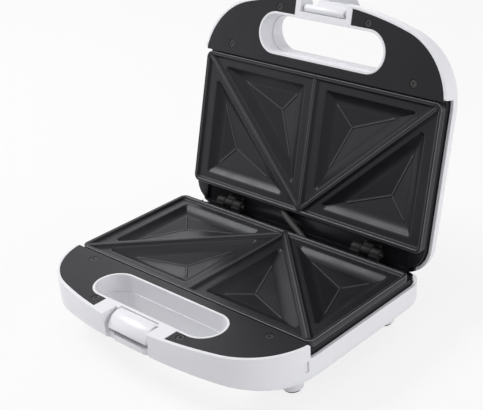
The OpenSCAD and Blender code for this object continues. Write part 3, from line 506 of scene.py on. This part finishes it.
def lid_shell():
    """The upper housing with the clip's room, lowered walls and the two lenses' holes."""
    obj = half_shell("upper_housing", LID_DEPTH, LID_R, LID_LIP, LID_BRIDGE, LID_NOTCH)
    cut(obj, prism(front_box(NOTCH, -NOTCH_BACK + SWING_BACK), -LID_NOTCH, -SWING_TOP))
    lower_sides(obj)
    for s in (-1, 1):
        cut(obj, prism(ring(s * LENS_X, LENS_Y, LENS_R + FIT), -40, -25))
    settle(obj, "lid", "lid", ["lid_shell"], WHITE)


base_shell()
lid_shell()

# ---- handle panels ---------------------------------------------------------------------------


def panel(name, half, bridge, node):
    """The black panel on a handle, cut out for the collar, the bridge and the sunk screws."""
    obj = make(name, prism(plan(WALL + FIT), -PANEL_T, 0))
    cut(obj, prism(box2(-SIDE_OUT, -PANEL_GAP, SIDE_OUT, REAR_OUT), -20, 20))
    cut(obj, oval_prism(COLLAR + FIT, -20, 21))
    cut(obj, prism(front_box(bridge + FIT, BAR_Y), -22, 22))
    for x, y in SCREWS:
        cut(obj, prism(ring(x, y, SCREW_HEAD_R, 32), -SCREW_SINK, 9))
        cut(obj, prism(ring(x, y, SCREW_R, 24), -9, 10))
    settle(obj, half, half, [node], BLACK)


panel("lower_handle_panel", "base", BASE_BRIDGE, "base_handle_panel")
panel("upper_handle_panel", "lid", LID_BRIDGE, "lid_handle_panel")

# ---- cooking plates --------------------------------------------------------------------------


def unit(v):
    """The vector's direction, one long."""
    v = np.array(v, float)
    return v / np.hypot(*v)


# the right-hand ridge: where the ridges meet, its direction and its left-hand normal
RIDGE_A = np.array([0, PLATE_D - RIDGE_MEET])
RIDGE_U = unit(np.array([PLATE_W / 2 - RIDGE_SIDE, RIDGE_FRONT]) - RIDGE_A)
RIDGE_N = np.array([-RIDGE_U[1], RIDGE_U[0]])


def meet(p, u, q, v):
    """Where the line through p along u crosses the one through q along v."""
    k = ((q[0] - p[0]) * v[1] - (q[1] - p[1]) * v[0]) / (u[0] * v[1] - u[1] * v[0])
    return np.array([p[0] + k * u[0], p[1] + k * u[1]])


def outer_tri(side, rear, diag):
    """The pocket between the ridge, the side and the rear, as a triangle."""
    o, x, y = RIDGE_A + RIDGE_N * diag, PLATE_W / 2 - side, PLATE_D - rear
    return [meet(o, RIDGE_U, (x, 0), (0, 1)), np.array([x, y]), meet(o, RIDGE_U, (0, y), (1, 0))]


def inner_tri(mid, front, diag):
    """The pocket between the middle ridge, the front and the ridge, as a triangle."""
    o = RIDGE_A - RIDGE_N * diag
    right, rear = meet(o, RIDGE_U, (0, front), (1, 0)), meet(o, RIDGE_U, (mid, 0), (0, 1))
    return [np.array([mid, front]), right, rear]


def edge_distances(tri, pts):
    """Distance inwards from each edge of an anticlockwise triangle."""
    out = []
    for a, b in zip(tri, tri[1:] + tri[:1]):
        u = unit(b - a)
        out.append((pts - a) @ np.array([-u[1], u[0]]))
    return np.array(out)


def rounded_depth(tri, pts, r):
    """Distance inside the triangle, with its corners rounded by r."""
    d = edge_distances(tri, pts) - r
    inside = d.min(0)
    out = np.full(len(pts), np.inf)
    corners = []
    for i in range(3):
        a, b, c = tri[i - 1], tri[i], tri[(i + 1) % 3]
        u, v = unit(b - a), unit(c - b)
        in_u, in_v = np.array([-u[1], u[0]]), np.array([-v[1], v[0]])
        corners.append(meet(b + r * in_u, u, b + r * in_v, v))
    for p, q in zip(corners, corners[1:] + corners[:1]):
        t = np.clip(((pts - p) @ (q - p)) / ((q - p) @ (q - p)), 0, 1)
        out = np.minimum(out, np.hypot(*(pts - p - t[:, None] * (q - p)).T))
    return r + np.where(inside > 0, inside, -out)


def inradius(tri):
    """The radius of the largest circle in a triangle."""
    a, b, c = (np.hypot(*(tri[i] - tri[j])) for i, j in ((1, 2), (0, 2), (0, 1)))
    area = abs(np.cross(tri[1] - tri[0], tri[2] - tri[0])) / 2
    return 2 * area / (a + b + c)


def soft_max(a, b, k):
    """The larger of a and b, blended where they differ by less than k."""
    h = np.clip(0.5 + 0.5 * (a - b) / k, 0, 1)
    return b + (a - b) * h + k * h * (1 - h)


def soft_min(a, b, k):
    """The smaller of a and b, blended where they differ by less than k."""
    return -soft_max(-a, -b, k)


def ramp(d, w, run, top, low, k=0.3):
    """Top up to distance w, then down to low over run, rounded a little."""
    fall = top - (d - w) * (top - low) / run
    return soft_max(soft_min(np.full_like(d, top), fall, k), np.full_like(d, low), k)


def plate_top(x, y):
    """Height of a cooking plate's upper face, in millimetres above the rim's top."""
    pts = np.stack([np.abs(x), y], 1)
    hx, hy = PLATE_W / 2, PLATE_D / 2
    q = np.abs(np.stack([x, y - hy], 1)) - (np.array([hx, hy]) - PLATE_R)
    edge = PLATE_R - (np.hypot(*np.maximum(q, 0).T) + np.minimum(q.max(1), 0))
    z = ramp(edge, RIM_W, RIM_SLOPE, 0.0, -FLAT)
    across = np.abs((pts - RIDGE_A) @ RIDGE_N)
    half_run = (RIDGE_FOOT - RIDGE_TOP) / 2
    for d in (np.abs(x), across):
        z = soft_max(z, ramp(d, RIDGE_TOP / 2, half_run, 0.0, -FLAT, RIDGE_SOFT), CROSS_SOFT)
    for tri in (
        outer_tri(POCKET_SIDE, POCKET_REAR, DIAG_OUT),
        inner_tri(POCKET_MID, POCKET_FRONT, DIAG_IN),
    ):
        s = rounded_depth(tri, pts, POCKET_R)
        near = np.sort(edge_distances(tri, pts), 0)
        left = np.clip(1 - s / SCOOP_RUN, 0, None)
        scoop = soft_max(SCOOP_DEPTH * (1 - left * left), np.zeros_like(s), SCOOP_SOFT)
        deep = inradius(tri)
        point = (near[0] - PYRAMID_INSET) / (deep - PYRAMID_INSET) * (APEX_DEPTH - FOOT_DEPTH)
        scoop = scoop + np.clip(point, 0, None)
        crease = near[1] - near[0]
        along = np.clip((near[0] - PYRAMID_INSET + CREASE_LEAD) / CREASE_LEAD, 0, 1)
        bead = CREASE_H * np.clip(1 - crease / CREASE_W, 0, 1) * along
        z = np.where(s > -POCKET_LIP, z - scoop + bead, z)
    return z


def cooking_plate(name, half, nodes):
    """A fine grid of the cast face, with its rim turned down to the skirt and its back below."""
    half_w, tiny = PLATE_W / 2, 1e-9
    xs = np.unique(np.concatenate([np.arange(-half_w, half_w + 0.01, GRID), [half_w]]))
    ys = np.unique(np.concatenate([np.arange(0, PLATE_D, GRID), [PLATE_D]]))
    gx, gy = np.meshgrid(xs, ys)
    x, y = gx.ravel(), gy.ravel()
    # corners of the grid are drawn in to the plate's round corners
    cx = np.clip(x, -(half_w - PLATE_R), half_w - PLATE_R)
    cy = np.clip(y, PLATE_R, PLATE_D - PLATE_R)
    dx, dy = x - cx, y - cy
    far = np.hypot(dx, dy)
    square = np.maximum(np.abs(dx), np.abs(dy))
    k = np.where(far > tiny, square / np.maximum(far, tiny), 1)
    corner = (np.abs(dx) > tiny) & (np.abs(dy) > tiny)
    x = np.where(corner, cx + dx * k, x)
    y = np.where(corner, cy + dy * k, y)
    z = plate_top(x, y)
    low = np.minimum(z - CAST, -SKIRT)
    nx, ny = len(xs), len(ys)
    index = np.arange(nx * ny).reshape(ny, nx)
    verts = np.concatenate([np.stack([x, y, z], 1), np.stack([x, y, low], 1)]) * MM
    total = nx * ny
    a, b, c, d = index[:-1, :-1], index[:-1, 1:], index[1:, 1:], index[1:, :-1]
    top = np.stack([a, b, c, d], -1).reshape(-1, 4)
    rim = np.concatenate([index[0, :], index[1:, -1], index[-1, -2::-1], index[-2:0:-1, 0]])
    # the rim's edge falls away in small steps, and the skirt ends in a hem
    inset = verts[rim].copy()
    near_x = np.clip(inset[:, 0], -0.1, 0.1)
    near_y = np.clip(inset[:, 1], 0.01, PLATE_D * MM - 0.01)
    away = inset[:, :2] - np.stack([near_x, near_y], 1)
    away /= np.maximum(np.hypot(*away.T), tiny)[:, None]
    lip = inset.copy()
    lip[:, 2] -= EDGE_STEP * MM
    verts[rim, :2] -= away * EDGE_STEP * MM
    low_lip = lip.copy()
    low_lip[:, 2] -= EDGE_LOWER * MM
    hem = verts[rim + total].copy()
    hem[:, 2] += HEM * MM
    verts = np.concatenate([verts, lip, low_lip, hem])
    count = len(rim)
    added = [2 * total + k * count + np.arange(count) for k in range(3)]
    loops = [rim, *added, rim + total]
    sides = [
        np.stack([p, q, np.roll(q, -1), np.roll(p, -1)], -1) for p, q in zip(loops, loops[1:])
    ]
    faces = np.concatenate([top, top[:, ::-1] + total, *sides])
    mesh = bpy.data.meshes.new(name)
    mesh.from_pydata(verts.tolist(), [], faces.tolist())
    bm = bmesh.new()
    bm.from_mesh(mesh)
    bmesh.ops.remove_doubles(bm, verts=bm.verts, dist=1e-7)
    bmesh.ops.recalc_face_normals(bm, faces=bm.faces)
    bm.to_mesh(mesh)
    bm.free()
    obj = make(name, mesh)
    settle(obj, half, half, nodes, COATED, angle=50, clean=False)


cooking_plate("lower_cooking_plate", "base", ["lower_plate"])
cooking_plate("upper_cooking_plate", "lid", ["upper_plate"])

# ---- pieces that keep their CAD shape, with softened edges -----------------------------------


def dress(node, body, slot, mat, bevel):
    """A copy of a CAD node with its flat faces joined and its edges rounded."""
    bm = bmesh.new()
    bm.from_mesh(frame["nodes"][node].data)
    bmesh.ops.remove_doubles(bm, verts=bm.verts, dist=1e-6)
    bmesh.ops.dissolve_limit(bm, angle_limit=math.radians(0.6), verts=bm.verts, edges=bm.edges)
    obj = make(node + "_piece", bm)
    settle(obj, None, body, [node], mat, bevel=bevel, angle=35, clean=False)


# node, body, slot, material, and the rounding of its edges in millimetres
DRESSED = (
    ("catch_nose", "base", "white_shell", WHITE, 0.25),
    ("latch_clip", "latch", "white_shell", WHITE, 0.4),
    ("base_frame", "base", "black_plastic", BLACK, 0.25),
    ("lid_frame", "lid", "black_plastic", BLACK, 0.25),
    ("base_hinges", "base", "black_plastic", HINGE, 0.3),
    ("lid_hinges", "lid", "black_plastic", HINGE, 0.3),
    ("foot_pads", "base", "rubber", RUBBER, 0.4),
    ("cord_inlet_bush", "base", "black_plastic", BLACK, 0.4),
    ("base_panel_screws", "base", "dark_steel", DARK_STEEL, 0.12),
    ("lid_panel_screws", "lid", "dark_steel", DARK_STEEL, 0.12),
    ("power_lens", "lid", "red_lens", RED, 0.4),
    ("ready_lens", "lid", "green_lens", GREEN, 0.4),
)
for row in DRESSED:
    dress(*row)

# ---- strips behind the hinges ----------------------------------------------------------------


def rear_strip(name, half, inner, z0, z1):
    """A thin black strip over a half's low rear wall; the two close the slot behind the hinges."""
    reach = REAR_LOW - 1
    obj = make(name, prism(plan(FIT), z0, z1))
    cut(obj, prism(plan(inner), z0 - 1, z1 + 1))
    keep = make("keep", prism(box2(-reach, REAR_Y - 12, reach, REAR_Y + 5), z0 - 2, z1 + 2))
    boolean(obj, keep, "INTERSECT")
    settle(obj, half, half, [], BLACK)


rear_strip("lower_rear_strip", "base", 1.3, -12.1, -10.6)
rear_strip("upper_rear_strip", "lid", 3.4, -8.9, -7.0)

# ---- CAD nodes that are carried over, with a better material ---------------------------------

CARRIED = {
    "base_frame_screws": STEEL, "lid_frame_screws": STEEL, "lower_plate_screws": STEEL,
    "upper_plate_screws": STEEL, "hinge_pins": STEEL, "clip_pin": STEEL,
    "lower_heater": DARK_STEEL, "upper_heater": DARK_STEEL, "lower_reflector": STEEL,
    "upper_reflector": STEEL, "lower_heater_saddles": CERAMIC, "upper_heater_saddles": CERAMIC,
    "thermostat": BLACK, "thermal_fuse": STEEL, "terminal_block": CERAMIC,
    "indicator_lamps": CERAMIC,
}
for node, mat in CARRIED.items():
    mesh = frame["nodes"][node].data
    mesh.materials.clear()
    mesh.materials.append(mat)

# ---- wire sleeve that crosses from the lower half into the lid -------------------------------


def lead_sleeve():
    """A ribbed sleeve along the source's curve, from the lower half into the open lid."""
    y = HINGE_Y - SLEEVE_BACK
    a = np.array(TO_BASE @ Vector((SLEEVE_X * MM, y * MM, SLEEVE_BASE_Z * MM)))
    b = np.array(TO_LID @ Vector((-SLEEVE_X * MM, y * MM, SLEEVE_LID_Z * MM)))
    out = np.array((TO_LID.to_3x3() @ Vector((0, 0, 1))).normalized())
    p1, p2 = a + np.array([0, 0, SLEEVE_PULL * MM]), b + out * SLEEVE_PULL * MM
    bm = bmesh.new()
    rows = []
    for i in range(SLEEVE_RINGS):
        t = i / (SLEEVE_RINGS - 1)
        s = 1 - t
        p = s**3 * a + 3 * s * s * t * p1 + 3 * s * t * t * p2 + t**3 * b
        d = 3 * s * s * (p1 - a) + 6 * s * t * (p2 - p1) + 3 * t * t * (b - p2)
        d /= np.linalg.norm(d)
        u = np.cross(d, (1, 0, 0))
        u /= np.linalg.norm(u)
        v = np.cross(d, u)
        wide = (SLEEVE_R - RIB_ROOT + RIB_H * math.cos(2 * math.pi * RIBS * t)) * MM
        rows.append(
            [
                bm.verts.new(p + wide * (u * math.cos(q) + v * math.sin(q)))
                for q in np.linspace(0, 2 * math.pi, SLEEVE_SIDES, endpoint=False)
            ]
        )
    for m, n in zip(rows, rows[1:]):
        for i in range(SLEEVE_SIDES):
            j = (i + 1) % SLEEVE_SIDES
            bm.faces.new((m[i], m[j], n[j], n[i]))
    bm.faces.new(rows[0][::-1])
    bm.faces.new(rows[-1])
    bmesh.ops.recalc_face_normals(bm, faces=bm.faces)
    obj = make("wire_sleeve", bm)
    smooth(obj, 60)
    obj.data.materials.append(RUBBER)
    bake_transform(obj)
    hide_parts("lead_sleeve")


lead_sleeve()

# ---- floor, light and camera -----------------------------------------------------------------

FLOOR_HALF, FLOOR_LOW, FLOOR_TONE, FLOOR_GLOW = 6.0, 0.0004, 0.78, 0.8
WORLD_LIGHT, WORLD_SEEN = 0.43, 1.0
# the point that the lamps face
MIDDLE = Vector((0, 0, 0.07))
# name, place and size in metres, power in watts
LAMPS = (
    ("key_left", (-0.98, -0.38, 1.22), (0.7, 0.55), 14),
    ("left_front", (-1.5, -1.15, 0.3), (0.8, 0.6), 2),
    ("back_left", (-1.2, 1.4, 0.8), (0.9, 0.6), 2.5),
    ("top", (0.35, -0.1, 1.6), (1.0, 1.0), 3),
    ("fill_right", (1.45, 0.15, 0.35), (0.8, 0.5), 7),
)
# the photograph's viewpoint, solved from the plates' corners: turns in degrees, place in the lower
# half's frame, lens and shift, which is there because the photograph is an uneven crop
CAM_AZIMUTH, CAM_ELEVATION, CAM_ROLL = 41.905, 23.199, -3.088
CAM_PLACE = (489.07, -420.89, 367.33)
CAM_LENS, CAM_SENSOR, CAM_SHIFT = 81.32, 36, (-0.1242, -0.1035)


def seen_rays(tree, path):
    """One for the rays that show the backdrop: camera, glossy and transmission."""
    value = path.outputs["Is Camera Ray"]
    for kind in ("Is Glossy Ray", "Is Transmission Ray"):
        either = tree.nodes.new("ShaderNodeMath")
        either.operation = "MAXIMUM"
        tree.links.new(value, either.inputs[0])
        tree.links.new(path.outputs[kind], either.inputs[1])
        value = either.outputs[0]
    return value


def backdrop_material():
    """A pale matt floor that shadows fall on, lifted towards white for the rays that show it."""
    mat = bpy.data.materials.new("backdrop")
    mat.use_nodes = True
    nodes, links = mat.node_tree.nodes, mat.node_tree.links
    shader = nodes["Principled BSDF"]
    shader.inputs["Base Color"].default_value = (FLOOR_TONE, FLOOR_TONE, FLOOR_TONE, 1)
    shader.inputs["Roughness"].default_value = 0.9
    path = nodes.new("ShaderNodeLightPath")
    glow = nodes.new("ShaderNodeEmission")
    glow.inputs["Strength"].default_value = 1.0
    fade = nodes.new("ShaderNodeMixShader")
    part = nodes.new("ShaderNodeMath")
    part.operation = "MULTIPLY"
    part.inputs[1].default_value = FLOOR_GLOW
    links.new(seen_rays(mat.node_tree, path), part.inputs[0])
    links.new(part.outputs[0], fade.inputs[0])
    links.new(shader.outputs[0], fade.inputs[1])
    links.new(glow.outputs[0], fade.inputs[2])
    links.new(fade.outputs[0], nodes["Material Output"].inputs["Surface"])
    return mat


def lay_floor():
    """A wide flat floor just under the feet."""
    h = FLOOR_HALF
    mesh = bpy.data.meshes.new("floor")
    mesh.from_pydata([(-h, -h, 0), (h, -h, 0), (h, h, 0), (-h, h, 0)], [], [(0, 1, 2, 3)])
    mesh.materials.append(backdrop_material())
    floor = make("floor", mesh)
    floor.location.z = -FLOOR_LOW


def studio_world():
    """A soft even light, seen as white by the camera and in reflections."""
    world = bpy.data.worlds.new("studio")
    bpy.context.scene.world = world
    world.use_nodes = True
    tree = world.node_tree
    tree.nodes.clear()
    path = tree.nodes.new("ShaderNodeLightPath")
    mix, out = tree.nodes.new("ShaderNodeMixShader"), tree.nodes.new("ShaderNodeOutputWorld")
    tree.links.new(seen_rays(tree, path), mix.inputs[0])
    for i, strength in ((1, WORLD_LIGHT), (2, WORLD_SEEN)):
        sky = tree.nodes.new("ShaderNodeBackground")
        sky.inputs["Color"].default_value = (1, 1, 1, 1)
        sky.inputs["Strength"].default_value = strength
        tree.links.new(sky.outputs[0], mix.inputs[i])
    tree.links.new(mix.outputs[0], out.inputs["Surface"])


def softbox(name, place, size, power):
    """A rectangular area lamp that faces the object."""
    light = bpy.data.lights.new(name, "AREA")
    light.shape, light.size, light.size_y, light.energy = "RECTANGLE", size[0], size[1], power
    obj = bpy.data.objects.new(name, light)
    bpy.context.scene.collection.objects.link(obj)
    obj.location = place
    obj.rotation_mode = "QUATERNION"
    obj.rotation_quaternion = (Vector(place) - MIDDLE).to_track_quat("Z", "Y")


def photo_camera():
    """The photograph's viewpoint."""
    cam = bpy.data.cameras.new("photo_camera")
    obj = bpy.data.objects.new("photo_camera", cam)
    bpy.context.scene.collection.objects.link(obj)
    az, el, roll = (math.radians(v) for v in (CAM_AZIMUTH, CAM_ELEVATION, CAM_ROLL))
    back = Vector((math.sin(az) * math.cos(el), -math.cos(az) * math.cos(el), math.sin(el)))
    right = Vector((math.cos(az), math.sin(az), 0))
    up = back.cross(right)
    c, s = math.cos(roll), math.sin(roll)
    turn = Matrix((right * c + up * s, up * c - right * s, back)).transposed().to_4x4()
    place = (Vector(CAM_PLACE) + Vector((0, -MIDDLE_Y, DECK))) * MM
    obj.matrix_world = Matrix.Translation(place) @ turn
    cam.sensor_width, cam.lens = CAM_SENSOR, CAM_LENS
    cam.shift_x, cam.shift_y = CAM_SHIFT
    cam.clip_start, cam.clip_end = 0.01, 30
    bpy.context.scene.camera = obj


lay_floor()
studio_world()
for lamp in LAMPS:
    softbox(*lamp)
photo_camera()
bpy.context.scene.view_settings.view_transform = "Standard"
